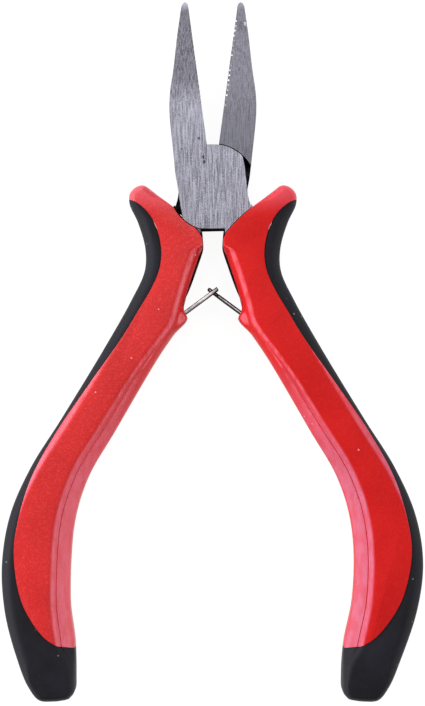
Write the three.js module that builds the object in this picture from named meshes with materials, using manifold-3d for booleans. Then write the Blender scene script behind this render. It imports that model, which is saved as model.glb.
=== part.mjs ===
// Mini pliers with a lap joint, two-shot grips and a pair of interlocking leaf springs.
// Millimetres, +Z up. The pivot axis is +Z, the jaws point along +Y, the joint's back face lies on z = 0.
import * as THREE from 'three';
import { mergeVertices } from 'three/examples/jsm/utils/BufferGeometryUtils.js';
import Module from 'manifold-3d';

// ---- driving sizes -------------------------------------------------------------------------
const STEEL_T = 8.5;            // thickness of the joint and of the jaw roots
const MID_Z = STEEL_T / 2;      // height of the lap plane above the joint's back face
const LAP_GAP = 0.05;           // each lap face stands this far off the lap plane
const BOSS_R = 7.68;            // lap plate, concentric with the pivot
const RECESS_R = 7.85;          // pocket in the steel and in the grip that the other half's plate turns in
const PLATE_BOTTOM = -7.45;     // flat lower edge of the lap plate
const OPEN_HALF = 7.6;          // each gripping face leans this far from +Y at rest, degrees
const GRIP_CLEAR = 0.05;        // each gripping face stands off the plane through the pivot
const TIP_Y = 33.4;             // jaw tips
const TIP_HALF_T = 1.5;         // half thickness of a jaw at its tip
const TAPER_Y = 13.0;           // the jaws start to thin from here, gently at first
const TAPER_POWER = 1.5;
const TAPER_STEPS = 10;
const GROOVE_FIRST = 15.0;      // serrations in the gripping faces
const GROOVE_PITCH = 0.9;
const GROOVE_COUNT = 14;
const GROOVE_DEPTH = 0.18;
const TANG_HALF_T = 2.6;        // half thickness of a tang inside its grip
const ROOT_END_Y = -9.4;        // the joint's full thickness ends here
const PIN_R = 2.5;              // rivet shank
const PIN_HEAD_R = 3.5;         // countersunk ends
const PIN_SINK = 1.0;
const PIN_GAP = 0.1;            // running clearance round the rivet
const GRIP_HALF_T = 5.0;        // half thickness of a grip
const GRIP_EDGE = 1.3;          // rounding of a grip's palm-side edges
const BEVEL_DEPTH = 1.9;        // height of the bevel along a grip's inner side
const BEVEL_TOP = 1.1;          // its width near the joint
const BEVEL_BOTTOM = 3.5;       // its width near the butt
const BOSS_Y = -23.2;           // the spring boss
const LEFT_LEAN = -0.9;         // how far each butt leans towards +X
const RIGHT_LEAN = -0.6;
const FIT = 0.15;               // gap between the tang and its cavity
const SKIN = 0.06;              // gap between the core and the overmould
const RIB_HALF_T = 2.9;         // rib of the core that the overmould closes round
const RIB_INSET = 1.5;
const LEAF_T = 0.7;             // leaf springs
const LEAF_HALF_W = 2.0;
const LEAF_L = 8.5;             // from a leaf's root to the crossing
const LEAF_ANGLE = 36.5;        // degrees above the X axis
const LEAF_PAST = 1.1;          // how far each end runs past the crossing
const LEAF_ROOT = 0.5;          // length behind the root point
const CROSS_Y = -18.6;          // the crossing, on the centre line
const SLOT_HALF_W = 1.15;       // slot in the left leaf
const SLOT_BACK = 1.15;
const SLOT_FRONT = 0.82;
const TONGUE_HALF_W = 0.85;     // tongue of the right leaf
const TONGUE_BACK = 1.0;
const SOCKET_GAP = 0.3;         // clearance of a leaf in its boss
const SWING_CLOSE = 21.5;       // how far a leaf turns in its boss, degrees
const SWING_OPEN = 6.5;

const LEAN_FROM = -63.0;        // the lean starts here and is complete LEAN_OVER further down
const LEAN_OVER = 26.0;

// How a grip's closed outline is counted: the points beside the joint, then the palm side.
const JOINT_POINTS = 5;
const PALM_STEPS = 76;
const INNER_FROM = JOINT_POINTS + PALM_STEPS;
const RIB_FROM = JOINT_POINTS + 8;
const RIB_TO = INNER_FROM - 4;

// Ends of an outline or a block that is only there to cut with.
const FAR = 20;

const rad = (d) => d * Math.PI / 180;
const wasm = await Module();
wasm.setup();

// ---- helpers -------------------------------------------------------------------------------
function solid(geometry) {
  const g = geometry.clone();
  g.deleteAttribute('normal');
  g.deleteAttribute('uv');
  const m = mergeVertices(g, 1e-4);
  return new wasm.Manifold(new wasm.Mesh({
    numProp: 3,
    vertProperties: new Float32Array(m.attributes.position.array),
    triVerts: new Uint32Array(m.index.array),
  }));
}

function geometryOf(manifold) {
  const m = manifold.getMesh();
  const p = [];
  for (let i = 0; i < m.vertProperties.length; i += m.numProp) {
    p.push(m.vertProperties[i], m.vertProperties[i + 1], m.vertProperties[i + 2]);
  }
  const g = new THREE.BufferGeometry();
  g.setAttribute('position', new THREE.Float32BufferAttribute(p, 3));
  g.setIndex(Array.from(m.triVerts));
  return g;
}

// A smooth line through a few points.
function smooth(points, steps) {
  const through = points.map((p) => new THREE.Vector3(p[0], p[1], 0));
  const c = new THREE.CatmullRomCurve3(through, false, 'centripetal');
  return c.getPoints(steps).map((v) => [v.x, v.y]);
}

function arc(r, fromDeg, toDeg, steps) {
  const out = [];
  for (let i = 0; i <= steps; i += 1) {
    const a = rad(fromDeg + (toDeg - fromDeg) * i / steps);
    out.push([r * Math.cos(a), r * Math.sin(a)]);
  }
  return out;
}

function shapeOf(outline) {
  return new THREE.Shape(outline.map((p) => new THREE.Vector2(p[0], p[1])));
}

function slab(outline, z0, z1) {
  const g = new THREE.ExtrudeGeometry(shapeOf(outline), { depth: z1 - z0, bevelEnabled: false });
  return solid(g.translate(0, 0, z0));
}

// Moves each point of a closed outline along its own normal. Positive is outward for a
// counter-clockwise outline.
function moved(outline, d) {
  const n = outline.length;
  return outline.map((p, i) => {
    const a = outline[(i + n - 1) % n];
    const b = outline[(i + 1) % n];
    const l = Math.hypot(b[0] - a[0], b[1] - a[1]);
    return [p[0] + d * (b[1] - a[1]) / l, p[1] - d * (b[0] - a[0]) / l];
  });
}

function distanceTo(outline, p) {
  let best = 1e9;
  outline.forEach((a, i) => {
    const b = outline[(i + 1) % outline.length];
    const dx = b[0] - a[0];
    const dy = b[1] - a[1];
    const t = Math.min(1, Math.max(0, ((p[0] - a[0]) * dx + (p[1] - a[1]) * dy) / (dx * dx + dy * dy)));
    best = Math.min(best, Math.hypot(p[0] - a[0] - t * dx, p[1] - a[1] - t * dy));
  });
  return best;
}

// The same closed outline, counter-clockwise.
function ccw(outline) {
  let area = 0;
  outline.forEach((p, i) => {
    const q = outline[(i + 1) % outline.length];
    area += p[0] * q[1] - q[0] * p[1];
  });
  return area < 0 ? outline.slice().reverse() : outline;
}

function mirrored(outline) {
  return outline.map((p) => [-p[0], p[1]]).reverse();
}

// Where a drawn-in point would cross its neighbours, it is laid between the last good ones.
function insetKeep(outline, depths) {
  const n = outline.length;
  const out = outline.map((p, i) => {
    const a = outline[(i + n - 1) % n];
    const b = outline[(i + 1) % n];
    const l = Math.hypot(b[0] - a[0], b[1] - a[1]);
    return [p[0] - depths[i] * (b[1] - a[1]) / l, p[1] + depths[i] * (b[0] - a[0]) / l];
  });
  const good = out.map((p, i) => distanceTo(outline, p) > depths[i] * 0.9 - 1e-6);
  return out.map((p, i) => {
    if (good[i]) return p;
    let i0 = i;
    let i1 = i;
    while (!good[(i0 + n) % n]) i0 -= 1;
    while (!good[i1 % n]) i1 += 1;
    const a = out[(i0 + n) % n];
    const b = out[i1 % n];
    const t = (i - i0) / (i1 - i0);
    const bulge = 0.04 * t * (1 - t);
    const dx = b[0] - a[0];
    const dy = b[1] - a[1];
    return [a[0] + dx * t + bulge * dy, a[1] + dy * t - bulge * dx];
  });
}

// One closed body through outlines with the same number of points, stacked along Z.
function loft(levels) {
  const n = levels[0].outline.length;
  const pos = [];
  const idx = [];
  levels.forEach((l) => l.outline.forEach((p) => pos.push(p[0], p[1], l.z)));
  for (let k = 0; k < levels.length - 1; k += 1) {
    for (let i = 0; i < n; i += 1) {
      const j = (i + 1) % n;
      const a = k * n + i;
      const b = k * n + j;
      idx.push(a, b, b + n, a, b + n, a + n);
    }
  }
  const top = (levels.length - 1) * n;
  const flat = (l) => l.outline.map((p) => new THREE.Vector2(p[0], p[1]));
  const cap = (l) => THREE.ShapeUtils.triangulateShape(flat(l), []);
  cap(levels[0]).forEach((t) => idx.push(t[0], t[2], t[1]));
  cap(levels[levels.length - 1]).forEach((t) => idx.push(top + t[0], top + t[1], top + t[2]));
  return new wasm.Manifold(new wasm.Mesh({
    numProp: 3,
    vertProperties: new Float32Array(pos),
    triVerts: new Uint32Array(idx),
  }));
}

// ---- outlines, left side -------------------------------------------------------------------
function gripOuterEdge() {
  return smooth([[-10.4, -0.85], [-12.4, 0.5], [-13.9, 0.1], [-14.9, -1.1], [-14.9, -2.9], [-13.4, -6.2],
    [-12.1, -10.8], [-12.2, -14.8], [-14.6, -20.1], [-19.4, -28.6], [-27.2, -41.4], [-32.6, -50.0],
    [-36.3, -58.5], [-37.7, -67.1], [-36.85, -75.6], [-34.25, -84.2], [-32.1, -89.3], [-30.2, -91.6],
    [-27.6, -91.85], [-24.9, -91.5]], PALM_STEPS);
}

function gripInnerEdge() {
  return smooth([[-24.9, -91.5], [-23.9, -90.2], [-23.75, -87.6], [-24.05, -81.5], [-25.35, -73.5],
    [-25.0, -60.7], [-22.5, -52.1], [-17.6, -43.6], [-10.1, -30.8], [-7.2, -26.4], [-5.9, -25.0]], 36);
}

function bossEdge() {
  return smooth([[-5.9, -25.0], [-4.95, -24.3], [-4.5, -23.3], [-4.75, -22.5], [-5.3, -21.7]], 10);
}

function tangSideEdge() {
  return [[-4.3, -17.9], [-2.9, -13.7], [-1.85, -10.7], [-1.8, -10.1], [-1.95, -9.4]];
}

function gripOutline() {
  const line = [];
  line.push([-2.0, -8.7], [-2.6, -7.8], [-4.5, -5.75], [-6.75, -3.75], [-8.6, -2.3]);
  line.push(...gripOuterEdge());
  line.push(...gripInnerEdge().slice(1));
  line.push(...bossEdge().slice(1));
  line.push(...tangSideEdge());
  return line;
}

// Everything on the palm side of the core: the black strip and the butt.
function softSide() {
  const edge = smooth([[-16.5, -1.9], [-15.0, -2.15], [-13.5, -2.8], [-11.6, -4.45], [-10.2, -6.8],
    [-9.35, -9.8], [-9.17, -12.0], [-9.6, -14.9], [-11.1, -18.3], [-13.3, -22.0], [-16.0, -26.5],
    [-22.0, -35.0], [-27.9, -43.6], [-32.5, -52.1], [-34.95, -60.7], [-35.4, -65.5],
    [-34.0, -73.0], [-31.4, -77.6], [-28.5, -81.2]], 76);
  return ccw([...edge, [-28.0, -81.7], [-22.0, -82.7], [-22, -95], [-42, -95], [-42, -1.9]]);
}

function tangOutline() {
  const inner = smooth([[-1.85, -8.2], [-1.72, -10.0], [-1.75, -10.9], [-2.65, -13.7], [-4.15, -17.9],
    [-4.95, -19.6], [-5.95, -21.0], [-7.9, -22.5], [-8.7, -24.8], [-10.6, -29.0], [-15.6, -37.5],
    [-21.6, -48.0], [-26.6, -56.0], [-28.6, -61.6]], 36);
  const outer = smooth([[-31.4, -60.6], [-29.2, -54.4], [-24.4, -46.4], [-18.3, -36.0], [-13.6, -27.6],
    [-9.9, -20.4], [-7.7, -13.6], [-8.0, -8.4], [-7.9, -4.6], [-6.9, -2.9]], 26);
  return ccw([[-5.0, -6.0], ...inner, [-29.7, -62.3], [-31.0, -61.9], ...outer]);
}

// The half whose jaw is on the left and whose tang is on the right.
function grippingEdge() {
  const s = Math.sin(rad(OPEN_HALF));
  const c = Math.cos(rad(OPEN_HALF));
  const at = (u, depth) => [-(u * s) - (GRIP_CLEAR + depth) * c, u * c - (GRIP_CLEAR + depth) * s];
  const out = [at(7.72, 0.0)];
  for (let i = 0; i < GROOVE_COUNT; i += 1) {
    const u = GROOVE_FIRST + GROOVE_PITCH * i;
    out.push(at(u, 0), at(u + GROOVE_PITCH * 0.35, GROOVE_DEPTH), at(u + GROOVE_PITCH * 0.7, 0));
  }
  out.push(at(TIP_Y - 0.25, 0));
  return out;
}

function jawOuterEdge() {
  return smooth([[-5.66, 32.6], [-6.43, 26.9], [-7.03, 21.2], [-7.66, 16.8], [-7.76, 13.6], [-7.4, 9.2],
    [-6.98, 5.5], [-6.67, 2.3], [-6.25, 0.0], [-5.8, -3.0], [-5.4, -5.0]], 22);
}

function halfOutline() {
  const tip = [[-4.72, 33.28], [-5.0, TIP_Y], [-5.36, 33.2]];
  const rim = arc(BOSS_R, 226, 253.4, 6);
  const root = [[2.0, PLATE_BOTTOM], [1.85, -8.2], [1.72, -10.0], [9.0, -10.0], [7.6, -4.2]];
  const side = smooth([[6.75, -3.1], [6.35, -1.9], [6.1, 0.2], [5.88, 1.6], [5.7, 3.6], [5.3, 5.45]], 8);
  const crown = arc(BOSS_R, 49, 96, 9);
  return [...grippingEdge(), ...tip, ...jawOuterEdge(), ...rim, ...root, ...side, ...crown];
}

// ---- steel ---------------------------------------------------------------------------------
function taperBlock() {
  const end = TIP_Y + 0.5;
  const top = [[-20, MID_Z]];
  for (let i = 0; i <= TAPER_STEPS; i += 1) {
    const t = i / TAPER_STEPS;
    top.push([TAPER_Y + (end - TAPER_Y) * t, MID_Z - (MID_Z - TIP_HALF_T) * t ** TAPER_POWER]);
  }
  const below = top.map((p) => [p[0], -p[1]]).reverse();
  const s = shapeOf(ccw([...top, ...below]));
  const g = new THREE.ExtrudeGeometry(s, { depth: 40, bevelEnabled: false });
  const m = new THREE.Matrix4();
  m.makeBasis(new THREE.Vector3(0, 1, 0), new THREE.Vector3(0, 0, 1), new THREE.Vector3(1, 0, 0));
  return solid(g.applyMatrix4(m).translate(-20, 0, 0));
}

function rivetBody(gap) {
  const r = PIN_R + gap;
  const h = MID_Z + (gap > 0 ? 1 : 0);
  const slope = (PIN_HEAD_R - PIN_R) / PIN_SINK;
  const head = PIN_R + gap + slope * (h - MID_Z + PIN_SINK);
  const pts = [[0, -h], [head, -h], [r, -MID_Z + PIN_SINK], [r, MID_Z - PIN_SINK], [head, h], [0, h]];
  const g = new THREE.LatheGeometry(pts.map((p) => new THREE.Vector2(p[0], p[1])), 48);
  return solid(g.rotateX(Math.PI / 2));
}

function drum(r, z0, z1) {
  const g = new THREE.CylinderGeometry(r, r, z1 - z0, 96);
  return solid(g.rotateX(Math.PI / 2).translate(0, 0, (z0 + z1) / 2));
}

function steelHalf() {
  const clearOfGrip = slab(moved(mirrored(gripOutline()), FIT), -FAR, FAR);
  const root = slab(halfOutline(), -MID_Z, MID_Z).intersect(taperBlock())
    .intersect(slab([[-30, ROOT_END_Y], [30, ROOT_END_Y], [30, 60], [-30, 60]], -FAR, FAR))
    .subtract(clearOfGrip);
  const tang = slab(mirrored(tangOutline()), -TANG_HALF_T, TANG_HALF_T);
  return root.add(tang)
    .subtract(drum(RECESS_R, -FAR, LAP_GAP))
    .subtract(rivetBody(PIN_GAP));
}

// ---- grips ---------------------------------------------------------------------------------
// The core's rib under the overmould: the grip's outer edge drawn in, closed inside the core.
function ribBody(grow) {
  const edge = moved(gripOutline(), -RIB_INSET + grow).slice(RIB_FROM, RIB_TO);
  const inside = [[-26.5, -80.5], [-30.0, -66.0], [-28.0, -55.0], [-20.0, -40.0], [-10.0, -24.0],
    [-8.0, -14.0],
    [-8.8, -6.0]];
  return slab([...edge, ...inside], -RIB_HALF_T - grow, RIB_HALF_T + grow);
}

function leafRoot() {
  return [-LEAF_L * Math.cos(rad(LEAF_ANGLE)), CROSS_Y - LEAF_L * Math.sin(rad(LEAF_ANGLE))];
}

// Room for the leaf spring to swing in its boss.
function socket() {
  const h = LEAF_HALF_W + SOCKET_GAP;
  const w = LEAF_T / 2 + SOCKET_GAP;
  const reach = 5;
  const line = [[-LEAF_ROOT - SOCKET_GAP, -w], [0, -w]];
  line.push([reach, -w - reach * Math.tan(rad(SWING_OPEN))]);
  line.push([reach, w + reach * Math.tan(rad(SWING_CLOSE))]);
  line.push([0, w], [-LEAF_ROOT - SOCKET_GAP, w]);
  const a = rad(LEAF_ANGLE);
  const at = leafRoot();
  const c = Math.cos(a);
  const s = Math.sin(a);
  return slab(line.map((p) => [at[0] + p[0] * c - p[1] * s, at[1] + p[0] * s + p[1] * c]), -h, h);
}

// How far the crease on each face stands from the grip's inner edge.
function bevelWidth(y) {
  const t = Math.min(1, Math.max(0, (-12 - y) / 68));
  return BEVEL_TOP + (BEVEL_BOTTOM - BEVEL_TOP) * t * t * (3 - 2 * t);
}

// A grip's solid: rounded on the palm side, bevelled to a crease on the inner side.
function gripBody() {
  const outline = gripOutline();
  const inner = outline.map((p, i) => {
    if (i < INNER_FROM) return 0;
    const t = Math.min(1, Math.max(0, (p[1] + 90) / 8));
    const u = Math.min(1, Math.max(0, (-9.6 - p[1]) / 3));
    return t * t * (3 - 2 * t) * u;
  });
  const steps = [[0, 0, 0], [0.3, 0.03, 0.15], [0.6, 0.14, 0.42], [0.85, 0.42, 0.7], [1, 1, 1]];
  const atBoss = (y) => 1 - 0.6 * Math.exp(-(((y - BOSS_Y) / 1.7) ** 2));
  const boss = outline.map((p, i) => (i < INNER_FROM ? 1 : atBoss(p[1])));
  const depth = (p, i, f) => (1 - inner[i]) * GRIP_EDGE * f[1] + inner[i] * bevelWidth(p[1]) * f[2];
  const at = (f) => outline.map((p, i) => depth(p, i, f) * boss[i]);
  const rise = (f) => GRIP_HALF_T - BEVEL_DEPTH * (1 - f[0]);
  const up = steps.map((f) => ({ outline: insetKeep(outline, at(f)), z: rise(f) }));
  const down = steps.map((f) => ({ outline: insetKeep(outline, at(f)), z: -rise(f) })).reverse();
  return loft([...down, ...up]);
}

function gripPair() {
  const body = gripBody().subtract(drum(RECESS_R, 0, FAR));
  const soft = slab(softSide(), -FAR, FAR);
  const rib = ribBody(0);
  const cavity = slab(moved(tangOutline(), FIT), -TANG_HALF_T - FIT, TANG_HALF_T + FIT);
  const hard = body.subtract(slab(moved(softSide(), SKIN), -FAR, FAR)).add(rib.intersect(body));
  const core = hard.subtract(cavity).subtract(socket());
  const cover = body.intersect(soft).subtract(ribBody(SKIN));
  return { core, cover };
}

// ---- leaf springs --------------------------------------------------------------------------
function box(x0, x1, y0, y1, z0, z1) {
  return slab([[x0, y0], [x1, y0], [x1, y1], [x0, y1]], z0, z1);
}

function leafStrip() {
  return box(-LEAF_ROOT, LEAF_L + LEAF_PAST, -LEAF_T / 2, LEAF_T / 2, -LEAF_HALF_W, LEAF_HALF_W);
}

function slottedLeaf() {
  return leafStrip().subtract(box(LEAF_L - SLOT_BACK, LEAF_L + SLOT_FRONT, -2, 2, -SLOT_HALF_W, SLOT_HALF_W));
}

function tonguedLeaf() {
  const front = box(LEAF_L - TONGUE_BACK, LEAF_L + 3, -2, 2, TONGUE_HALF_W, 5);
  const back = box(LEAF_L - TONGUE_BACK, LEAF_L + 3, -2, 2, -5, -TONGUE_HALF_W);
  return leafStrip().subtract(front).subtract(back);
}

function placeLeft(manifold) {
  const at = leafRoot();
  return geometryOf(manifold).rotateZ(rad(LEAF_ANGLE)).translate(at[0], at[1], 0);
}

// The two butts don't lean alike.
function leaned(geometry, by) {
  const p = geometry.attributes.position;
  for (let i = 0; i < p.count; i += 1) {
    const t = Math.min(1, Math.max(0, (LEAN_FROM - p.getY(i)) / LEAN_OVER));
    p.setX(i, p.getX(i) + by * t * t * (3 - 2 * t));
  }
  return geometry;
}

// ---- materials -----------------------------------------------------------------------------
function steelFinish() {
  return new THREE.MeshStandardMaterial({ color: 0x8f8d93, roughness: 0.38, metalness: 1.0 });
}

function rivetFinish() {
  return new THREE.MeshStandardMaterial({ color: 0x98969c, roughness: 0.35, metalness: 1.0 });
}

function hardPlastic() {
  return new THREE.MeshStandardMaterial({ color: 0xc8232b, roughness: 0.42, metalness: 0.0 });
}

function softRubber() {
  return new THREE.MeshStandardMaterial({ color: 0x1d1e22, roughness: 0.7, metalness: 0.0 });
}

function springFinish() {
  return new THREE.MeshStandardMaterial({ color: 0x55505a, roughness: 0.3, metalness: 1.0 });
}

// ---- assembly ------------------------------------------------------------------------------
function node(name, geometry, material) {
  const g = geometry.index ? geometry.toNonIndexed() : geometry;
  g.computeVertexNormals();
  const m = new THREE.Mesh(g.translate(0, 0, MID_Z), material);
  m.name = name;
  return m;
}

const turned = (g) => g.clone().rotateY(Math.PI);
const group = new THREE.Group();
group.name = 'round_nose_pliers';

const half = geometryOf(steelHalf());
group.add(node('steel_half_front', half.clone(), steelFinish()));
group.add(node('steel_half_rear', turned(half), steelFinish()));
group.add(node('pivot_rivet', geometryOf(rivetBody(0)), rivetFinish()));

const grips = gripPair();
group.add(node('grip_core_left', leaned(geometryOf(grips.core), LEFT_LEAN), hardPlastic()));
group.add(node('overmould_left', leaned(geometryOf(grips.cover), LEFT_LEAN), softRubber()));
group.add(node('grip_core_right', leaned(turned(geometryOf(grips.core)), RIGHT_LEAN), hardPlastic()));
group.add(node('overmould_right', leaned(turned(geometryOf(grips.cover)), RIGHT_LEAN), softRubber()));

group.add(node('leaf_spring_left', placeLeft(slottedLeaf()), springFinish()));
group.add(node('leaf_spring_right', turned(placeLeft(tonguedLeaf())), springFinish()));

export default group;
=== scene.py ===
"""Looks for the mini pliers: steel halves, two-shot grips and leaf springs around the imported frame."""

import math

import bmesh
import bpy
import numpy as np
from mathutils import Matrix, Vector


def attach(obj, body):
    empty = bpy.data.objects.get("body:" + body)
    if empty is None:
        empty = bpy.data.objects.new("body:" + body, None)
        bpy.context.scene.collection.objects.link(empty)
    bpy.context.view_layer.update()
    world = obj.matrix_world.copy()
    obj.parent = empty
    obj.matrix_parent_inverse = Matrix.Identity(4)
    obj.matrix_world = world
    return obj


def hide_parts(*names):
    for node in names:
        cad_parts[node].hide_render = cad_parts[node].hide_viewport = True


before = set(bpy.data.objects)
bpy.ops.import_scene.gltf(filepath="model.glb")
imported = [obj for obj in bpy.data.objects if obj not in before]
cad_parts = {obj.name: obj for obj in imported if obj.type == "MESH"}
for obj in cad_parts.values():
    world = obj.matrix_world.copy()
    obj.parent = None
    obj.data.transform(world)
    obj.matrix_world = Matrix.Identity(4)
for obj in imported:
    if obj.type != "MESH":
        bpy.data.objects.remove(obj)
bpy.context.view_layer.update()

# ---- sizes, in millimetres, in the part's own frame -------------------------------------------
MM = 0.001
MID_Z = 4.25            # height of the lap plane, and of the grips' middle
HALF_T = 5.0            # half thickness of a grip
ROUND_IN = 2.3          # how far the palm-side rounding reaches in from the edge
ROUND_DOWN = 2.9        # and down the side
SQUARE_SHARE = 0.92     # how much of the rounding is taken away beside the joint
SQUARE_FROM = (-10.4, -12.2)    # the square stretch begins past this X and this Y
SQUARE_FADE = (3.0, 2.4)        # and is complete this much further on
HORN_SHARE = 0.42       # how much less the horn is rounded, from HORN_FROM up over HORN_FADE
HORN_FROM = -6.0
HORN_FADE = 4.0
BUTT_SHARE = 0.50       # and the butt, from BUTT_FROM down over BUTT_FADE
BUTT_FROM = -84.0
BUTT_FADE = 5.0
BEVEL_TOP = 1.1         # width of the inner bevel near the joint
BEVEL_BOTTOM = 2.3      # and near the butt
BEVEL_FROM = -12.0      # it widens from here, over BEVEL_OVER
BEVEL_OVER = 52.0
CREASE_TOP = -23.0      # above here the inner side is rounded, with no crease
CREASE_FADE = 14.0
CREASE_BOTTOM = -85.6   # and below here too
CREASE_BOTTOM_FADE = 4.6
BOSS_Y = -23.05         # the spring boss
BOSS_ABOVE = 0.95       # how far it reaches up and down the inner side
BOSS_BELOW = 1.9
BUTT_CORNER = (-24.9, -91.49)
TANG_HALF_T = 2.6
FIT = 0.15
SEAM = 0.03             # half the gap between the red core and the black overmould
LEFT_LEAN = -0.9        # how far each butt leans towards +X
RIGHT_LEAN = -0.6
LEAN_FROM = -63.0       # the lean starts here and is complete LEAN_OVER further down
LEAN_OVER = 26.0
COVER_SINK = 0.12       # the black overmould lies this much below the red core's face
OUTLINE_STEP = 0.4
ROOM_R = 7.87           # the grip is hollowed to clear the other half's lap plate
BOSS_OUT = 1.2          # how far the spring boss stands out
# The inner side of a grip from its edge inward: how far in (up to 1 as a share of the bevel, past 1 in
# millimetres beyond the crease) and how far below the front face.
BEVEL_PROFILE = (
    (0.0, 3.0), (0.03, 2.7), (0.10, 2.45), (0.25, 2.1), (0.45, 1.72), (0.65, 1.38), (0.83, 1.12),
    (0.94, 0.96), (1.0, 1.0), (1.09, 0.93), (1.22, 0.72), (1.42, 0.49), (1.65, 0.27), (1.95, 0.11),
    (2.35, 0.03), (2.9, 0.0))
LEAF_ANGLE = math.radians(36.5)
LEAF_L = 8.5            # from a leaf's root to the crossing
CROSS_Y = -18.6         # the crossing, on the centre line
SOCKET_HALF_T = 0.65    # the mouth that a leaf swings in
SOCKET_HALF_W = 2.3
SOCKET_BACK = 0.8
SOCKET_REACH = 5.0
SWING_CLOSE = math.radians(21.5)
SWING_OPEN = math.radians(6.5)
STEEL_T = 8.5
PIN_R = 2.59
PIN_HEAD_R = 3.59
PIN_HEAD_T = 1.0
RIVET_CLEAR = 4.0       # the steel's edges within this radius belong to the rivet's hole
PLATE_END = -7.45       # lower edge of the lap plate
JAW_EDGE = 0.34         # width of the broken edges on the jaws' outer side
RIM_EDGE = 0.13         # on the other rims of the steel
GRIP_EDGE = 0.12
LEAF_EDGE = 0.28
CROTCH_EDGE = 0.5       # clamped by the short edges beside it, so that corner is only just eased
JAW_FROM = 4.0          # a jaw's outer side lies above this Y and beyond
OUTER_SLOPE = 0.17      # X = OUTER_SLOPE * Y + OUTER_OFFSET
OUTER_OFFSET = 1.2
CROTCH_R = (7.4, 8.1)   # the crotch's corners lie between these radii, above CROTCH_FROM
CROTCH_FROM = 7.2
FLOOR_Z = -0.75
FLOOR_HALF = 1500
FAR = 30                # past every piece
OUTER_FROM = 2.9         # the grips' edges are broken this far from the lap plane and beyond
CAMERA_X = -0.06
CAMERA_Y = -29.5
CAMERA_DISTANCE = 400.0     # from the front face
FRAME_HEIGHT = 125.7        # what the picture shows there, top to bottom

FRONT, REAR = "front_half", "rear_half"


# ---- curves -----------------------------------------------------------------------------------
def smooth_line(points, per_span=14):
    """A centripetal Catmull-Rom line through the points."""
    p = [np.array(q, float) for q in points]
    p = [2 * p[0] - p[1]] + p + [2 * p[-1] - p[-2]]
    out = []
    for i in range(1, len(p) - 2):
        a, b, c, d = p[i - 1 : i + 3]
        t = [0.0]
        for u, v in ((a, b), (b, c), (c, d)):
            t.append(t[-1] + max(np.linalg.norm(v - u), 1e-9) ** 0.5)
        for k in range(per_span):
            s = t[1] + (t[2] - t[1]) * k / per_span
            a1 = (t[1] - s) / (t[1] - t[0]) * a + (s - t[0]) / (t[1] - t[0]) * b
            a2 = (t[2] - s) / (t[2] - t[1]) * b + (s - t[1]) / (t[2] - t[1]) * c
            a3 = (t[3] - s) / (t[3] - t[2]) * c + (s - t[2]) / (t[3] - t[2]) * d
            b1 = (t[2] - s) / (t[2] - t[0]) * a1 + (s - t[0]) / (t[2] - t[0]) * a2
            b2 = (t[3] - s) / (t[3] - t[1]) * a2 + (s - t[1]) / (t[3] - t[1]) * a3
            out.append((t[2] - s) / (t[2] - t[1]) * b1 + (s - t[1]) / (t[2] - t[1]) * b2)
    out.append(p[-2])
    return out


def even(points, step):
    """The same closed line, with points at an even spacing."""
    p = np.array(points)
    q = np.vstack([p, p[:1]])
    s = np.concatenate([[0], np.cumsum(np.linalg.norm(np.diff(q, axis=0), axis=1))])
    n = int(s[-1] / step)
    at = np.arange(n) * s[-1] / n
    return np.stack([np.interp(at, s, q[:, k]) for k in (0, 1)], axis=1)


def ease(t):
    """A smooth step from 0 to 1, clamped at both ends."""
    t = np.clip(t, 0.0, 1.0)
    return t * t * (3 - 2 * t)


# ---- outlines of the left grip ----------------------------------------------------------------
def grip_outline():
    """The left grip seen from the front, with points at an even spacing."""
    palm = smooth_line([
        (-10.4, -0.85), (-12.4, 0.5), (-13.9, 0.1), (-14.9, -1.1), (-14.9, -2.9), (-13.4, -6.2),
        (-12.1, -10.8), (-12.2, -14.8), (-14.6, -20.1), (-19.4, -28.6), (-27.2, -41.4), (-32.6, -50.0),
        (-36.3, -58.5), (-37.69, -67.1), (-36.85, -75.6), (-34.25, -84.2), (-32.1, -89.3),
        (-30.2, -91.6), (-27.6, -91.84), BUTT_CORNER])
    inner = smooth_line([
        BUTT_CORNER, (-23.9, -90.2), (-23.75, -87.6), (-24.05, -81.5), (-25.35, -73.5), (-25.0, -60.7),
        (-22.5, -52.1), (-17.6, -43.6), (-10.1, -30.8), (-7.2, -26.4), (-6.25, -24.7), (-5.65, -22.8),
        (-5.1, -20.6), (-4.3, -17.9), (-2.9, -13.7), (-1.85, -10.7)])
    joint_side = [
        (-1.8, -10.1), (-1.85, -9.3), (-2.1, -8.6), (-2.6, -7.8), (-4.5, -5.75), (-6.75, -3.75),
        (-8.6, -2.3)]
    line = [*palm, *inner[1:], *joint_side]
    return even([tuple(q) for q in line], OUTLINE_STEP)


def soft_edge():
    """The line where the red core meets the black overmould, from the horn to the inner side."""
    curve = smooth_line([
        (-16.5, -1.9), (-15.0, -2.15), (-13.5, -2.8), (-11.6, -4.45), (-10.2, -6.8), (-9.35, -9.8),
        (-9.17, -12.0), (-9.6, -14.9), (-11.1, -18.3), (-13.3, -22.0), (-16.0, -26.5), (-22.0, -35.0),
        (-27.9, -43.6), (-32.5, -52.1), (-34.95, -60.7), (-35.4, -65.5), (-34.0, -73.0), (-31.6, -77.5),
        (-29.2, -80.3), (-27.4, -81.5)])
    return [*curve, np.array((-26.8, -81.75)), np.array((-22.0, -82.6))]


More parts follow.
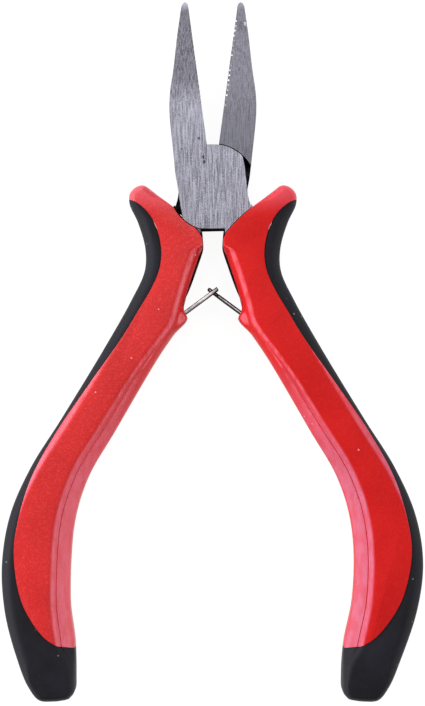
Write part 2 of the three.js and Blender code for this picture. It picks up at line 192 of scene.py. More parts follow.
def tang_outline(grow):
    """The left tang of the rear half, grown all round."""
    inner = smooth_line([
        (-1.85, -8.2), (-1.72, -10.0), (-1.75, -10.9), (-2.65, -13.7), (-4.15, -17.9), (-4.95, -19.6),
        (-5.95, -21.0), (-7.9, -22.5), (-8.7, -24.8), (-10.6, -29.0), (-15.6, -37.5), (-21.6, -48.0),
        (-26.6, -56.0), (-28.6, -61.6)], 4)
    outer = smooth_line([
        (-31.4, -60.6), (-29.2, -54.4), (-24.4, -46.4), (-18.3, -36.0), (-13.6, -27.6), (-9.9, -20.4),
        (-7.7, -13.6), (-8.0, -8.4), (-7.9, -4.6), (-6.9, -2.9)], 4)
    line = np.array([(-5.0, -6.0), *inner, (-29.7, -62.3), (-31.0, -61.9), *outer])
    a, b = np.roll(line, 1, axis=0), np.roll(line, -1, axis=0)
    d = b - a
    n = np.stack([-d[:, 1], d[:, 0]], axis=1) / np.linalg.norm(d, axis=1)[:, None]
    return line + n * grow


def drawn_in(line, depth):
    """The closed line moved inward by a depth at each point, with no loops at tight corners."""
    n = len(line)
    d = np.roll(line, -1, axis=0) - np.roll(line, 1, axis=0)
    d /= np.linalg.norm(d, axis=1)[:, None]
    out = line + np.stack([-d[:, 1], d[:, 0]], axis=1) * depth[:, None]
    a, b = line, np.roll(line, -1, axis=0)
    seg = b - a
    length2 = (seg ** 2).sum(1)
    rel = out[:, None, :] - a[None, :, :]
    t = np.clip((rel * seg[None]).sum(2) / length2[None], 0, 1)
    gap = np.linalg.norm(rel - t[..., None] * seg[None], axis=2).min(1)
    good = gap > depth * 0.98 - 1e-6
    if good.all():
        return out
    keep = np.flatnonzero(good)
    s = np.arange(n)
    wrap = np.concatenate([keep - n, keep, keep + n])
    x = np.interp(s, wrap, np.tile(out[keep, 0], 3))
    y = np.interp(s, wrap, np.tile(out[keep, 1], 3))
    return np.stack([x, y], axis=1)


# ---- mesh helpers -----------------------------------------------------------------------------
def to_object(name, bm):
    """A new object from a finished mesh."""
    bmesh.ops.recalc_face_normals(bm, faces=bm.faces)
    mesh = bpy.data.meshes.new(name)
    bm.to_mesh(mesh)
    bm.free()
    obj = bpy.data.objects.new(name, mesh)
    bpy.context.collection.objects.link(obj)
    return obj


def prism(name, line, z0, z1):
    """A closed outline, in millimetres, raised between two heights."""
    bm = bmesh.new()
    low = [bm.verts.new((x * MM, y * MM, z0 * MM)) for x, y in line]
    high = [bm.verts.new((x * MM, y * MM, z1 * MM)) for x, y in line]
    n = len(line)
    for i in range(n):
        j = (i + 1) % n
        bm.faces.new((low[i], low[j], high[j], high[i]))
    bm.faces.new(low[::-1])
    bm.faces.new(high)
    return to_object(name, bm)


def cut(obj, other, operation):
    """Applies a boolean with another object, which is then removed."""
    mod = obj.modifiers.new("cut", "BOOLEAN")
    mod.object = other
    mod.operation = operation
    mod.solver = "EXACT"
    apply_modifiers(obj)
    bpy.data.objects.remove(other, do_unlink=True)
    return obj


def apply_modifiers(obj):
    """Bakes the object's modifiers into its mesh."""
    graph = bpy.context.evaluated_depsgraph_get()
    mesh = bpy.data.meshes.new_from_object(obj.evaluated_get(graph))
    obj.modifiers.clear()
    old = obj.data
    obj.data = mesh
    mesh.name = obj.name
    bpy.data.meshes.remove(old)


def copy_of(obj, name):
    new = obj.copy()
    new.data = obj.data.copy()
    new.name = new.data.name = name
    bpy.context.collection.objects.link(new)
    return new


def sharpen(obj, degrees=32):
    """Smooth shading, with edges steeper than this kept sharp."""
    bm = bmesh.new()
    bm.from_mesh(obj.data)
    limit = math.radians(degrees)
    for f in bm.faces:
        f.smooth = True
    for e in bm.edges:
        e.smooth = len(e.link_faces) == 2 and e.calc_face_angle(0) < limit
    bm.to_mesh(obj.data)
    bm.free()


def tidy_edges(obj, width, degrees, choose=lambda mid, edge: True, segments=2):
    """Bevels the edges steeper than an angle that a test picks by their middle, in millimetres."""
    bm = bmesh.new()
    bm.from_mesh(obj.data)
    bmesh.ops.remove_doubles(bm, verts=bm.verts, dist=2e-6)
    limit = math.radians(degrees)
    picked = []
    for e in bm.edges:
        if len(e.link_faces) == 2 and e.calc_face_angle(0) > limit:
            mid = (e.verts[0].co + e.verts[1].co) / (2 * MM)
            if choose(mid, e):
                picked.append(e)
    bmesh.ops.bevel(bm, geom=picked, offset=width * MM, segments=segments, profile=0.5, affect="EDGES",
                    clamp_overlap=True, loop_slide=True)
    bm.to_mesh(obj.data)
    bm.free()


def turn_over(obj):
    """Half a turn about the Y axis through the joint's middle makes the other side's piece."""
    m = (Matrix.Translation((0, 0, MID_Z * MM)) @ Matrix.Rotation(math.pi, 4, "Y")
         @ Matrix.Translation((0, 0, -MID_Z * MM)))
    obj.data.transform(m)
    return obj


def lean(obj, amount):
    """Shifts the butt end sideways, in millimetres."""
    co = np.empty(len(obj.data.vertices) * 3)
    obj.data.vertices.foreach_get("co", co)
    co = co.reshape(-1, 3)
    co[:, 0] += amount * MM * ease((LEAN_FROM - co[:, 1] / MM) / LEAN_OVER)
    obj.data.vertices.foreach_set("co", co.ravel())
    obj.data.update()
    return obj


# ---- grips ------------------------------------------------------------------------------------
def grip_body():
    """The whole left grip: rounded on the palm side, bevelled to a crease on the inner side."""
    line = grip_outline()
    y = line[:, 1]
    inner_from = int(np.argmin(np.hypot(line[:, 0] - BUTT_CORNER[0], y - BUTT_CORNER[1])))
    on_inner = np.arange(len(line)) >= inner_from
    creased = ease((y - CREASE_BOTTOM) / CREASE_BOTTOM_FADE) * ease((CREASE_TOP - y) / CREASE_FADE)
    inner = np.where(on_inner, creased, 0.0)
    boss_length = np.where(y > BOSS_Y, BOSS_ABOVE, BOSS_BELOW)
    boss = np.where(on_inner, BOSS_OUT * np.exp(-(((y - BOSS_Y) / boss_length) ** 2)), 0.0)
    along = np.roll(line, -1, axis=0) - np.roll(line, 1, axis=0)
    along /= np.linalg.norm(along, axis=1)[:, None]
    outward = np.stack([along[:, 1], -along[:, 0]], axis=1)
    # The edge beside the joint is nearly square; it rounds off towards the horn.
    past_x = ease((line[:, 0] - SQUARE_FROM[0]) / SQUARE_FADE[0])
    past_y = ease((y - SQUARE_FROM[1]) / SQUARE_FADE[1])
    square = np.where(on_inner, past_y * past_x, 0.0)
    softness = 1 - SQUARE_SHARE * square
    # Less rounding where the outline itself turns tightly: at the horn and at the butt.
    at_horn = HORN_SHARE * ease((y - HORN_FROM) / HORN_FADE)
    at_butt = BUTT_SHARE * ease((BUTT_FROM - y) / BUTT_FADE)
    tight = (1 - at_horn) * (1 - at_butt)
    width = BEVEL_TOP + (BEVEL_BOTTOM - BEVEL_TOP) * ease((BEVEL_FROM - y) / BEVEL_OVER)
    levels = []
    for k, (reach, drop) in enumerate(BEVEL_PROFILE):
        t = k / (len(BEVEL_PROFILE) - 1)
        round_in = ROUND_IN * (1 - math.cos(t * math.pi / 2)) * softness * tight
        bevel_in = width * min(reach, 1.0) + max(reach - 1.0, 0.0)
        down_round = ROUND_DOWN * (1 - math.sin(t * math.pi / 2)) * softness
        depth = (1 - inner) * round_in + inner * bevel_in
        z = HALF_T - ((1 - inner) * down_round + inner * drop)
        bulge = boss * (1 - ease(np.float64(reach / 0.9)))
        levels.append((drawn_in(line, depth + 1e-9) + outward * bulge[:, None], z))
    bm = bmesh.new()
    rings = []
    for side in (-1, 1):
        order = levels[::-1] if side < 0 else levels
        for outline, heights in order:
            z = (MID_Z + side * heights) * MM
            rings.append([bm.verts.new((p[0] * MM, p[1] * MM, h)) for p, h in zip(outline, z)])
    n = len(line)
    for low, high in zip(rings, rings[1:]):
        for i in range(n):
            j = (i + 1) % n
            bm.faces.new((low[i], low[j], high[j], high[i]))
    bm.faces.new(rings[0][::-1])
    bm.faces.new(rings[-1])
    return to_object("grip_body", bm)


def outer_edge(mid, edge):
    """An edge near the front or the back face, not one of the cavities inside."""
    return abs(mid.z - MID_Z) > OUTER_FROM


def socket():
    """The flared mouth that the leaf spring swings in."""
    root = np.array([-LEAF_L * math.cos(LEAF_ANGLE), CROSS_Y - LEAF_L * math.sin(LEAF_ANGLE)])
    up = SOCKET_HALF_T + SOCKET_REACH * math.tan(SWING_CLOSE)
    down = SOCKET_HALF_T + SOCKET_REACH * math.tan(SWING_OPEN)
    line = [
        (-SOCKET_BACK, -SOCKET_HALF_T), (0, -SOCKET_HALF_T), (SOCKET_REACH, -down),
        (SOCKET_REACH, up), (0, SOCKET_HALF_T), (-SOCKET_BACK, SOCKET_HALF_T)]
    c, s = math.cos(LEAF_ANGLE), math.sin(LEAF_ANGLE)
    turned = [(root[0] + x * c - y * s, root[1] + x * s + y * c) for x, y in line]
    return prism("socket", turned, MID_Z - SOCKET_HALF_W, MID_Z + SOCKET_HALF_W)


def soft_prism(grow):
    """Everything on the overmould's side of the seam, with the seam moved by a little."""
    edge = [(x + grow * 0.7, y + grow * 0.7) for x, y in soft_edge()]
    return prism("soft", [*edge, (-22, -95), (-42, -95), (-42, -1.9)], -FAR, FAR)


def make_grip_pieces():
    """The left grip's red core and black overmould, cut from one body."""
    body = grip_body()
    core = copy_of(body, "grip_core")
    cut(core, soft_prism(SEAM), "DIFFERENCE")
    room = TANG_HALF_T + FIT
    cut(core, prism("tang_room", tang_outline(FIT), MID_Z - room, MID_Z + room), "DIFFERENCE")
    cut(core, socket(), "DIFFERENCE")
    cut(core, lathe("plate_room", [(ROOM_R, MID_Z), (ROOM_R, FAR)]), "DIFFERENCE")
    cover = copy_of(body, "overmould")
    cut(cover, soft_prism(-SEAM), "INTERSECT")
    sink = 1 - COVER_SINK / HALF_T
    thinner = Matrix.Diagonal((1, 1, sink, 1))
    cover.data.transform(Matrix.Translation((0, 0, MID_Z * MM * (1 - sink))) @ thinner)
    bpy.data.objects.remove(body, do_unlink=True)
    return core, cover


# ---- steel ------------------------------------------------------------------------------------
def steel_from_cad(node):
    """The frame's own piece, with its flat faces cleaned up."""
    obj = copy_of(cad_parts[node], node + "_forging")
    obj.parent = None
    obj.matrix_world = Matrix.Identity(4)
    bm = bmesh.new()
    bm.from_mesh(obj.data)
    bmesh.ops.remove_doubles(bm, verts=bm.verts, dist=1e-6)
    bmesh.ops.dissolve_limit(bm, angle_limit=math.radians(0.4), verts=bm.verts, edges=bm.edges)
    bm.to_mesh(obj.data)
    bm.free()
    return obj


def crotch_edge(mid, edge):
    """The upright edges where a gripping face meets the lap plate or its pocket."""
    upright = abs((edge.verts[0].co - edge.verts[1].co).normalized().z) > 0.9
    return upright and CROTCH_R[0] < math.hypot(mid.x, mid.y) < CROTCH_R[1] and mid.y > CROTCH_FROM


def rim_edge(mid, edge):
    """An edge of a front or back face, away from the rivet."""
    if math.hypot(mid.x, mid.y) < RIVET_CLEAR:
        return False
    return any(abs(f.normal.z) > 0.9 for f in edge.link_faces)


def make_steel(node, side):
    """One forging with its edges broken; side is the X sign of its jaw."""
    def jaw(mid, edge):
        outer = side * mid.x > abs(mid.y) * OUTER_SLOPE + OUTER_OFFSET
        return rim_edge(mid, edge) and mid.y > JAW_FROM and outer

    def other_rim(mid, edge):
        return rim_edge(mid, edge) and not jaw(mid, edge) and abs(mid.y - PLATE_END) > 0.05

    obj = steel_from_cad(node)
    tidy_edges(obj, CROTCH_EDGE, 35, crotch_edge, 4)
    tidy_edges(obj, JAW_EDGE, 35, jaw, 1)
    tidy_edges(obj, RIM_EDGE, 35, other_rim, 1)
    sharpen(obj, 30)
    return obj


def lathe(name, profile, steps=96):
    """A solid of revolution about the joint's axis, from radii and heights going up."""
    bm = bmesh.new()
    rings = []
    for r, z in profile:
        ring = []
        for k in range(steps):
            a = 2 * math.pi * k / steps
            ring.append(bm.verts.new((r * math.cos(a) * MM, r * math.sin(a) * MM, z * MM)))
        rings.append(ring)
    for low, high in zip(rings, rings[1:]):
        for k in range(steps):
            j = (k + 1) % steps
            bm.faces.new((low[k], low[j], high[j], high[k]))
    bm.faces.new(rings[0][::-1])
    bm.faces.new(rings[-1])
    return to_object(name, bm)


def make_rivet():
    """Two countersunk heads, flush with both faces, on one shank."""
    lower = [(PIN_HEAD_R, 0.0), (PIN_R, PIN_HEAD_T)]
    upper = [(PIN_R, STEEL_T - PIN_HEAD_T), (PIN_HEAD_R, STEEL_T)]
    obj = lathe("rivet", lower + upper)
    sharpen(obj, 30)
    return obj


def make_leaf(node):
    """The frame's own leaf spring with rounded edges."""
    obj = steel_from_cad(node)
    tidy_edges(obj, LEAF_EDGE, 50, segments=3)
    sharpen(obj, 40)
    return obj


# ---- colours, as linear red, green and blue -----------------------------------------------------
STEEL_FRONT = (0.205, 0.201, 0.238)
# the rear forging is the same steel as the front, painted darker as painted shade
STEEL_REAR_SHADED = (0.118, 0.116, 0.137)
TIP_SHADE = (0.47, 0.47, 0.47)
PIT = (0.03, 0.03, 0.04)
DEEP_PIT = (0.02, 0.02, 0.03)
# painted highlight on the crests of the right jaw's teeth
TOOTH_GLINT = (0.80, 0.80, 0.84)
FORGE_DARK = (0.004, 0.004, 0.005)
FORGE_LIGHT = (0.022, 0.022, 0.026)
# the broken edges, painted near white: partly their bare metal, partly painted highlight
BARE_EDGE_AND_HIGHLIGHT = (0.72, 0.71, 0.74)
RED_DARK = (0.40, 0.0040, 0.0038)
RED_LIGHT = (0.475, 0.0065, 0.0060)
RED_GRAIN = (0.66, 0.034, 0.038)
# painted pink sheen at the top of the horn
RED_HORN_SHEEN = (0.62, 0.10, 0.14)
# painted highlight streak on the upper inner rounding
RED_SHOULDER_SHEEN = (0.72, 0.13, 0.17)
RED_SPECK = (0.80, 0.42, 0.42)
# painted pink sheen on the lower inner bevel, for the left and the right copy
LEFT_BEVEL_SHEEN = (0.58, 0.10, 0.15)
RIGHT_BEVEL_SHEEN = (0.46, 0.12, 0.19)
BLACK_DARK = (0.0025, 0.0024, 0.0042)
BLACK_LIGHT = (0.006, 0.006, 0.010)
BLACK_GRAIN = (0.028, 0.028, 0.038)
BLACK_SPECK = (0.22, 0.23, 0.26)
LEAF_RIM_DARK = (0.36, 0.31, 0.32)
LEAF_RIM_LIGHT = (0.62, 0.56, 0.57)
# the leaf's flat faces, painted near black as a painted dark reflection
LEAF_FLAT_DARK = (0.008, 0.006, 0.007)
LEAF_FLAT_LIGHT = (0.03, 0.025, 0.028)
FLOOR_DARK = (0.13, 0.13, 0.13)
FLOOR_LIGHT = (0.14, 0.14, 0.14)
WHITE = (1, 1, 1)
COOL_WHITE = (0.94, 0.94, 1.0)

# ---- marks on the steel, in millimetres ---------------------------------------------------------
TOOTH_PITCH = 0.9
GRIP_SLOPE = 0.125      # the right jaw's gripping edge lies at X = GRIP_SLOPE * Y + GRIP_OFFSET
GRIP_OFFSET = 0.42
# painted shade: the left jaw is painted darker towards its tapered tip
TIP_FROM, TIP_TO = 12.5, 20.5       # the left jaw darkens between these
NOSE_FROM, NOSE_TO = 31.6, 33.4     # and both are brighter at the very end
# Pits on the front forging: X, Y, half width and half length.
FRONT_PITS = ((-1.7, 5.4, 0.22, 0.35), (-1.55, 4.5, 0.25, 0.35), (-2.5, 8.75, 0.25, 0.2))


# ---- shader helpers -----------------------------------------------------------------------------
def new_material(name):
    mat = bpy.data.materials.new(name)
    mat.use_nodes = True
    tree = mat.node_tree
    return mat, tree, tree.nodes["Principled BSDF"]


def add(tree, kind, **inputs):
    """A new node; an underscore in an input's name stands for a space."""
    node = tree.nodes.new(kind)
    for key, value in inputs.items():
        node.inputs[key.replace("_", " ")].default_value = value
    return node


def position(tree):
    """The place on the piece, as X, Y and Z outputs in metres."""
    place = tree.nodes.new("ShaderNodeTexCoord")
    split = tree.nodes.new("ShaderNodeSeparateXYZ")
    tree.links.new(place.outputs["Object"], split.inputs[0])
    return split.outputs


def scaled(tree, scale, turn=(0, 0, 0)):
    """Object coordinates, scaled per axis, in lengths per metre."""
    place = tree.nodes.new("ShaderNodeTexCoord")
    mapping = add(tree, "ShaderNodeMapping")
    mapping.inputs["Scale"].default_value = scale
    mapping.inputs["Rotation"].default_value = turn
    tree.links.new(place.outputs["Object"], mapping.inputs["Vector"])
    return mapping.outputs["Vector"]


def noise(tree, scale, detail=3.0, rough=0.5, turn=(0, 0, 0)):
    """Noise on the object's coordinates; a small scale along an axis draws it out along that axis."""
    node = add(tree, "ShaderNodeTexNoise", Scale=1.0, Detail=detail, Roughness=rough)
    tree.links.new(scaled(tree, scale, turn), node.inputs["Vector"])
    return node.outputs["Fac"]


def band(tree, value, low, high, to_low=0.0, to_high=1.0):
    """A smooth step from to_low, where the value is low or less, to to_high, where it is high or more."""
    node = tree.nodes.new("ShaderNodeMapRange")
    node.interpolation_type = "SMOOTHSTEP"
    for key, number in zip(("From Min", "From Max", "To Min", "To Max"), (low, high, to_low, to_high)):
        node.inputs[key].default_value = number
    tree.links.new(value, node.inputs["Value"])
    return node.outputs["Result"]


def maths(tree, operation, a, b=None):
    """A maths node on outputs or numbers."""
    node = tree.nodes.new("ShaderNodeMath")
    node.operation = operation
    for socket_in, value in zip(node.inputs, (a, b)):
        if value is None:
            continue
        if isinstance(value, (int, float)):
            socket_in.default_value = value
        else:
            tree.links.new(value, socket_in)
    return node.outputs[0]


def times(tree, a, b):
    return maths(tree, "MULTIPLY", a, b)


def plus(tree, a, b):
    return maths(tree, "ADD", a, b)


def minus(tree, a, b):
    return maths(tree, "SUBTRACT", a, b)


def size_of(tree, a):
    return maths(tree, "ABSOLUTE", a)


def blend_colour(tree, fac, a, b, mode="MIX"):
    node = tree.nodes.new("ShaderNodeMix")
    node.data_type = "RGBA"
    node.blend_type = mode
    for key, value in (("Factor", fac), ("A", a), ("B", b)):
        target = [s for s in node.inputs if s.name == key and s.enabled][0]
        if isinstance(value, (int, float)):
            target.default_value = value
        elif isinstance(value, tuple):
            target.default_value = (*value, 1.0)
        else:
            tree.links.new(value, target)
    return [s for s in node.outputs if s.enabled][0]


def paint(tree, base, amount, colour, mode="MIX"):
    """The base with a colour laid over it by an amount."""
    return blend_colour(tree, amount, base, colour, mode)


def toned(tone, factor):
    """A tone made lighter or darker, at most white."""
    return tuple(min(1, c * factor) for c in tone)


def bump(tree, bsdf, heights):
    """Chains bump nodes: (height, strength, distance in metres)."""
    last = None
    for height, strength, distance in heights:
        node = add(tree, "ShaderNodeBump", Strength=strength, Distance=distance)
        tree.links.new(height, node.inputs["Height"])
        if last is not None:
            tree.links.new(last, node.inputs["Normal"])
        last = node.outputs["Normal"]
    tree.links.new(last, bsdf.inputs["Normal"])


def facing_up(tree):
    """How squarely a surface faces the front or the back, 0 to 1, in the piece's own axes."""
    place = tree.nodes.new("ShaderNodeTexCoord")
    split = tree.nodes.new("ShaderNodeSeparateXYZ")
    tree.links.new(place.outputs["Normal"], split.inputs[0])
    return size_of(tree, split.outputs["Z"])


def specks(tree, per_metre, size, share):
    """Sparse round specks: 1 inside a speck."""
    node = add(tree, "ShaderNodeTexVoronoi", Scale=1.0)
    tree.links.new(scaled(tree, (per_metre,) * 3), node.inputs["Vector"])
    dot = band(tree, node.outputs["Distance"], size * 0.6, size, 1.0, 0.0)
    split = tree.nodes.new("ShaderNodeSeparateColor")
    tree.links.new(node.outputs["Color"], split.inputs[0])
    chosen = maths(tree, "LESS_THAN", split.outputs[0], share)
    return times(tree, dot, chosen)


# ---- steel looks --------------------------------------------------------------------------------
def blemish(tree, at, x, y, half_width, half_length):
    """A small ragged pit at a place on the face, in millimetres."""
    ragged = minus(tree, noise(tree, (3500, 3500, 3500), 2, 0.6), 0.5)
    wobble = times(tree, ragged, 1.6)
    total = None
    for axis, centre, half in (("X", x, half_width), ("Y", y, half_length)):
        off = maths(tree, "DIVIDE", minus(tree, at[axis], centre * MM), half * MM)
        square = times(tree, off, off)
        total = square if total is None else plus(tree, total, square)
    return band(tree, plus(tree, total, wobble), 0.6, 1.2, 1.0, 0.0)


def painted_tooth_glints(tree, at):
    """Painted highlight: glints on the crests of the gripping teeth, where they meet the front face of
    the right jaw.
    """
    line = plus(tree, times(tree, at["Y"], GRIP_SLOPE), GRIP_OFFSET * MM)
    off = minus(tree, at["X"], line)
    wave = maths(tree, "SINE", times(tree, at["Y"], 2 * math.pi / (TOOTH_PITCH * MM)))
    near = band(tree, size_of(tree, off), 0.00008, 0.00020, 1.0, 0.0)
    glint = times(tree, near, band(tree, wave, 0.3, 0.9))
    highlight_breakup = band(tree, noise(tree, (1100, 1100, 1100), 2, 0.5), 0.47, 0.60)
    glint = times(tree, glint, highlight_breakup)
    return times(tree, glint, band(tree, at["Y"], 0.012, 0.017, 0.0, 0.7))


def steel_grain(tree, tone, streak):
    """The colour of the brushed metal, with how it is brushed and the fine part of that."""
    fine = noise(tree, (6800, 260, 6800), 4, 0.65)
    broad = noise(tree, (2400, 110, 2400), 2, 0.55)
    dust = noise(tree, (5200, 5200, 5200), 3, 0.6)
    cloud = noise(tree, (160, 120, 160), 3, 0.6)
    scratch = noise(tree, (420, 8000, 420), 2, 0.4, (0, 0, 0.35))
    cross = noise(tree, (9000, 300, 9000), 2, 0.4, (0, 0, -1.2))
    brushed = plus(tree, times(tree, fine, 0.62), times(tree, broad, 0.10))
    brushed = plus(tree, brushed, times(tree, dust, 0.28))
    light, dark = toned(tone, 1 + 0.55 * streak), toned(tone, 1 - 0.38 * streak)
    base = blend_colour(tree, band(tree, brushed, 0.39, 0.61), dark, light)
    base = paint(tree, base, band(tree, dust, 0.58, 0.70, 0.0, 0.6), toned(tone, 2.4))
    base = paint(tree, base, band(tree, cloud, 0.35, 0.7, 0.0, 0.35), toned(tone, 1.22))
    base = paint(tree, base, band(tree, scratch, 0.70, 0.76, 0.0, 0.3), toned(tone, 1.6))
    base = paint(tree, base, band(tree, cross, 0.68, 0.75, 0.0, 0.4), toned(tone, 0.5))
    base = paint(tree, base, times(tree, specks(tree, 700, 0.15, 0.14), 0.75), PIT)
    return base, brushed, fine


def steel_masks(tree, at):
    """Where the forging is ground flat, and where its broken edges are bare and carry a painted
    highlight, from places in metres.
    """
    up = facing_up(tree)
    # Flat faces within about half a millimetre of the lap plane, the lap faces in the recesses, are left
    # out of the ground faces and take the dark colour of the sides.
    from_lap = size_of(tree, minus(tree, at["Z"], MID_Z * MM))
    face = times(tree, band(tree, up, 0.90, 0.97), band(tree, from_lap, 0.0003, 0.0005))
    beside = band(tree, size_of(tree, at["X"]), 0.0021, 0.0023)
    plate = band(tree, at["Y"], -0.00735, -0.00725)
    above_tang = band(tree, at["Y"], -0.0101, -0.0097)
    ground = times(tree, above_tang, maths(tree, "MAXIMUM", beside, plate))
    slope = times(tree, band(tree, up, 0.25, 0.45), band(tree, up, 0.90, 0.97, 1.0, 0.0))
    return times(tree, face, ground), times(tree, slope, ground)


def ground_steel(name, tone, streak, tip_dark, pits=(), glints=False):
    """Brushed flat faces, broken edges painted near white as bare metal and painted highlight, and
    forge-black sides.
    """
    mat, tree, bsdf = new_material(name)
    at = position(tree)
    base, brushed, fine = steel_grain(tree, tone, streak)
    for pit in pits:
        base = paint(tree, base, times(tree, blemish(tree, at, *pit), 0.85), DEEP_PIT)
    # painted shade: the front forging's jaw is painted darker from TIP_FROM to TIP_TO, towards the tip
    tip = band(tree, at["Y"], TIP_FROM * MM, TIP_TO * MM, 0.0, tip_dark)
    base = paint(tree, base, tip, TIP_SHADE, "MULTIPLY")
    nose = band(tree, at["Y"], NOSE_FROM * MM, NOSE_TO * MM, 0.0, 0.55)
    base = paint(tree, base, nose, toned(tone, 2.2))
    # painted highlight: glints on the right jaw's tooth crests
    if glints:
        base = paint(tree, base, painted_tooth_glints(tree, at), TOOTH_GLINT)
    face, edge = steel_masks(tree, at)
    forge = band(tree, noise(tree, (900, 900, 900), 4, 0.6), 0.35, 0.7)
    colour = blend_colour(tree, forge, FORGE_DARK, FORGE_LIGHT)
    colour = paint(tree, colour, face, base)
    # the broken edges are painted near white in patches, partly bare metal and partly painted highlight
    highlight_breakup = band(tree, noise(tree, (2300, 1500, 2300), 3, 0.6), 0.40, 0.56, 0.25, 1.0)
    colour = paint(tree, colour, times(tree, edge, highlight_breakup), BARE_EDGE_AND_HIGHLIGHT)
    tree.links.new(colour, bsdf.inputs["Base Color"])
    dull = times(tree, minus(tree, 1.0, maths(tree, "MAXIMUM", face, edge)), 0.45)
    rough = plus(tree, band(tree, brushed, 0.3, 0.7, 0.36, 0.50), dull)
    tree.links.new(rough, bsdf.inputs["Roughness"])
    tree.links.new(times(tree, face, 0.9), bsdf.inputs["Metallic"])
    bsdf.inputs["Specular IOR Level"].default_value = 0.0
    dents = noise(tree, (1500, 1500, 1500), 4, 0.6)
    bump(tree, bsdf, [(fine, 0.25, 0.00002), (dents, 0.12, 0.00003)])
    return mat


def spring_steel():
    """Flat faces painted near black, a painted dark reflection, with bare metal where the strip was cut.
    """
    mat, tree, bsdf = new_material("spring_steel")
    rim = band(tree, facing_up(tree), 0.975, 0.998)
    stain = noise(tree, (1200, 1200, 1200), 3, 0.6)
    bare = blend_colour(tree, band(tree, stain, 0.35, 0.65), LEAF_RIM_DARK, LEAF_RIM_LIGHT)
    # painted shade: the flat faces are painted near black for the dark reflections of polished steel
    flat = blend_colour(tree, band(tree, stain, 0.3, 0.7), LEAF_FLAT_DARK, LEAF_FLAT_LIGHT)
    tree.links.new(paint(tree, flat, rim, bare), bsdf.inputs["Base Color"])
    tree.links.new(band(tree, rim, 0.0, 1.0, 0.7, 0.32), bsdf.inputs["Roughness"])
    tree.links.new(times(tree, rim, 0.95), bsdf.inputs["Metallic"])
    bsdf.inputs["Specular IOR Level"].default_value = 0.2
    bump(tree, bsdf, [(noise(tree, (5000, 5000, 900), 3, 0.5), 0.15, 0.00002)])
    return mat


# ---- grip and floor looks -----------------------------------------------------------------------
def red_plastic(name, grain_and_sheen, gloss, bevel_sheen):
    """Grained hard plastic, painted paler with a pink sheen on the lower bevel, at the horn and on the
    upper inner shoulder.
    """
    mat, tree, bsdf = new_material(name)
    at = position(tree)
    up = facing_up(tree)
    cloud = noise(tree, (90, 90, 90), 4, 0.6)
    grain = noise(tree, (3400, 3400, 3400), 3, 0.6)
    pebble = noise(tree, (1400, 1400, 1400), 2, 0.5)
    base = blend_colour(tree, band(tree, cloud, 0.3, 0.7), RED_DARK, RED_LIGHT)
    # real grain, laid on more thickly in the left copy, which paints that core lighter as painted sheen
    base = paint(tree, base, band(tree, grain, 0.50, 0.68, 0.0, grain_and_sheen), RED_GRAIN)
    # painted sheen: sloped faces of the lower inner bevel are painted pink, in patches
    low = band(tree, at["Y"], -0.055, -0.027, 1.0, 0.0)
    sloped = times(tree, band(tree, up, 0.25, 0.50), band(tree, up, 0.88, 0.985, 1.0, 0.0))
    patchy = band(tree, noise(tree, (900, 260, 900), 3, 0.6), 0.35, 0.65, 0.45, 0.72)
    base = paint(tree, base, times(tree, times(tree, sloped, low), patchy), bevel_sheen)
    # painted sheen: the horn is painted pink above about Y -5.5 mm
    base = paint(tree, base, band(tree, at["Y"], -0.0055, 0.0, 0.0, 0.42), RED_HORN_SHEEN)
    # painted highlight: a pale streak on the upper inner rounding below the joint, broken into streaks
    shoulder = times(tree, band(tree, up, 0.66, 0.82), band(tree, up, 0.90, 0.985, 1.0, 0.0))
    sheen_streaks = band(tree, noise(tree, (1300, 500, 1300), 3, 0.6), 0.35, 0.6, 0.35, 1.0)
    below_joint = band(tree, at["Y"], -0.0100, -0.0085, 1.0, 0.0)
    stretch = times(tree, minus(tree, 1.0, low), below_joint)
    shoulder = times(tree, times(tree, shoulder, sheen_streaks), times(tree, stretch, 0.55))
    base = paint(tree, base, shoulder, RED_SHOULDER_SHEEN)
    base = paint(tree, base, times(tree, specks(tree, 620, 0.12, 0.10), 0.5), RED_SPECK)
    tree.links.new(base, bsdf.inputs["Base Color"])
    tree.links.new(band(tree, cloud, 0.3, 0.7, 0.36, 0.44), bsdf.inputs["Roughness"])
    bsdf.inputs["Specular IOR Level"].default_value = gloss
    bump(tree, bsdf, [(grain, 0.7, 0.00006), (pebble, 0.35, 0.00010)])
    return mat


def black_rubber():
    """Matt black with a fine grain and a few pale specks."""
    mat, tree, bsdf = new_material("black_rubber")
    cloud = noise(tree, (120, 120, 120), 4, 0.6)
    grain = noise(tree, (4500, 4500, 4500), 3, 0.6)
    base = blend_colour(tree, band(tree, cloud, 0.3, 0.7), BLACK_DARK, BLACK_LIGHT)
    base = paint(tree, base, band(tree, grain, 0.5, 0.8, 0.0, 0.3), BLACK_GRAIN)
    base = paint(tree, base, times(tree, specks(tree, 760, 0.15, 0.10), 0.55), BLACK_SPECK)
    tree.links.new(base, bsdf.inputs["Base Color"])
    tree.links.new(band(tree, cloud, 0.3, 0.7, 0.55, 0.68), bsdf.inputs["Roughness"])
    bsdf.inputs["Specular IOR Level"].default_value = 0.16
    bump(tree, bsdf, [(grain, 0.5, 0.00005)])
    return mat


def floor_material():
    """A pale floor that shines a little by itself, so it stays near white."""
    mat, tree, bsdf = new_material("pale_floor")
    tone = noise(tree, (12, 12, 12), 2, 0.5)
    tree.links.new(blend_colour(tree, tone, FLOOR_DARK, FLOOR_LIGHT), bsdf.inputs["Base Color"])
    bsdf.inputs["Emission Color"].default_value = (*WHITE, 1)
    bsdf.inputs["Emission Strength"].default_value = 0.92
    bsdf.inputs["Roughness"].default_value = 0.9
    bsdf.inputs["Specular IOR Level"].default_value = 0.1
    return mat


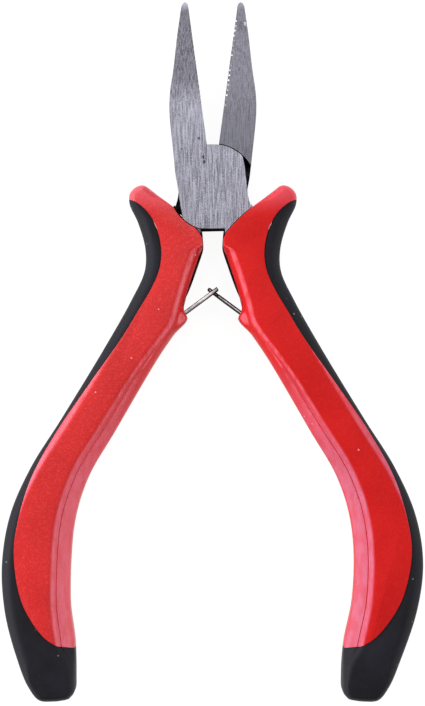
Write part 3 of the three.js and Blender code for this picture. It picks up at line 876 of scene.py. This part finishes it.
# ---- assembly -----------------------------------------------------------------------------------
def finish_piece(obj, name, material, body, node):
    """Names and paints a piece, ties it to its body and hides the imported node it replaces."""
    obj.name = obj.data.name = name
    obj.data.materials.clear()
    obj.data.materials.append(material)
    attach(obj, body)
    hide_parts(node)


def build_metal():
    front_steel = ground_steel("steel_front", STEEL_FRONT, 1.5, 1.0, FRONT_PITS)
    # the rear forging's steel is the front's, painted darker as painted shade
    rear_steel = ground_steel("steel_rear", STEEL_REAR_SHADED, 0.9, 0.0, glints=True)
    front = make_steel("steel_half_front", -1)
    finish_piece(front, "front_forging", front_steel, FRONT, "steel_half_front")
    rear = make_steel("steel_half_rear", 1)
    finish_piece(rear, "rear_forging", rear_steel, REAR, "steel_half_rear")
    finish_piece(make_rivet(), "flush_rivet", front_steel, FRONT, "pivot_rivet")


def build_grips():
    # The two cores are one plastic: the left copy is painted lighter with more grain, as painted sheen,
    # and the right copy deeper red.
    red = red_plastic("red_plastic_left", 0.45, 0.34, LEFT_BEVEL_SHEEN)
    black = black_rubber()
    right_red = red_plastic("red_plastic_right", 0.14, 0.12, RIGHT_BEVEL_SHEEN)
    core, cover = make_grip_pieces()
    for obj in (core, cover):
        tidy_edges(obj, GRIP_EDGE, 50, outer_edge)
    right_core, right_cover = copy_of(core, "right_core"), copy_of(cover, "right_cover")
    turn_over(right_core)
    turn_over(right_cover)
    pieces = (
        (core, "left_core", red, REAR, "grip_core_left", "hard_plastic"),
        (cover, "left_overmould", black, REAR, "overmould_left", "soft_rubber"),
        (right_core, "right_core", right_red, FRONT, "grip_core_right", "hard_plastic"),
        (right_cover, "right_overmould", black, FRONT, "overmould_right", "soft_rubber"))
    for obj, name, material, body, node, slot in pieces:
        lean(obj, LEFT_LEAN if name.startswith("left") else RIGHT_LEAN)
        sharpen(obj, 38)
        finish_piece(obj, name, material, body, node)


def build_leaves():
    spring = spring_steel()
    left = make_leaf("leaf_spring_left")
    finish_piece(left, "left_leaf", spring, "spring_left", "leaf_spring_left")
    right = make_leaf("leaf_spring_right")
    finish_piece(right, "right_leaf", spring, "spring_right", "leaf_spring_right")


def build_object():
    build_metal()
    build_grips()
    build_leaves()


# ---- stage --------------------------------------------------------------------------------------
def softbox(name, place, aim, size, power, colour=WHITE):
    """A rectangular light; places and sizes in metres."""
    data = bpy.data.lights.new(name, "AREA")
    data.shape = "RECTANGLE"
    data.size, data.size_y = size
    data.energy = power
    data.color = colour
    obj = bpy.data.objects.new(name, data)
    obj.location = place
    obj.rotation_euler = (Vector(aim) - Vector(place)).to_track_quat("-Z", "Y").to_euler()
    obj.visible_camera = False
    bpy.context.collection.objects.link(obj)


def build_stage():
    world = bpy.data.worlds.new("studio")
    bpy.context.scene.world = world
    world.use_nodes = True
    sky = world.node_tree.nodes["Background"]
    sky.inputs["Color"].default_value = (*WHITE, 1)
    sky.inputs["Strength"].default_value = 0.60
    middle = (0, -0.03, 0)
    softbox("key", (-0.42, -0.04, 0.13), middle, (0.60, 0.20), 3.3, COOL_WHITE)
    softbox("fill", (0.44, -0.06, 0.15), middle, (0.60, 0.20), 1.2)
    softbox("top", (0.02, 0.25, 0.60), middle, (0.50, 0.40), 1.6)
    softbox("horns", (-0.10, 0.42, 0.10), middle, (0.40, 0.12), 1.2)
    h = FLOOR_HALF
    floor = prism("floor", [(-h, -h), (h, -h), (h, h), (-h, h)], FLOOR_Z - 1, FLOOR_Z)
    floor.data.materials.append(floor_material())
    bpy.context.scene.view_settings.view_transform = "Standard"


def build_camera():
    """A long lens straight in front of the tool."""
    data = bpy.data.cameras.new("camera")
    data.sensor_fit = "VERTICAL"
    data.sensor_height = 36.0
    data.lens = data.sensor_height * CAMERA_DISTANCE / FRAME_HEIGHT
    obj = bpy.data.objects.new("camera", data)
    obj.location = (CAMERA_X * MM, CAMERA_Y * MM, (STEEL_T + CAMERA_DISTANCE) * MM)
    bpy.context.collection.objects.link(obj)
    bpy.context.scene.camera = obj


build_object()
build_stage()
build_camera()
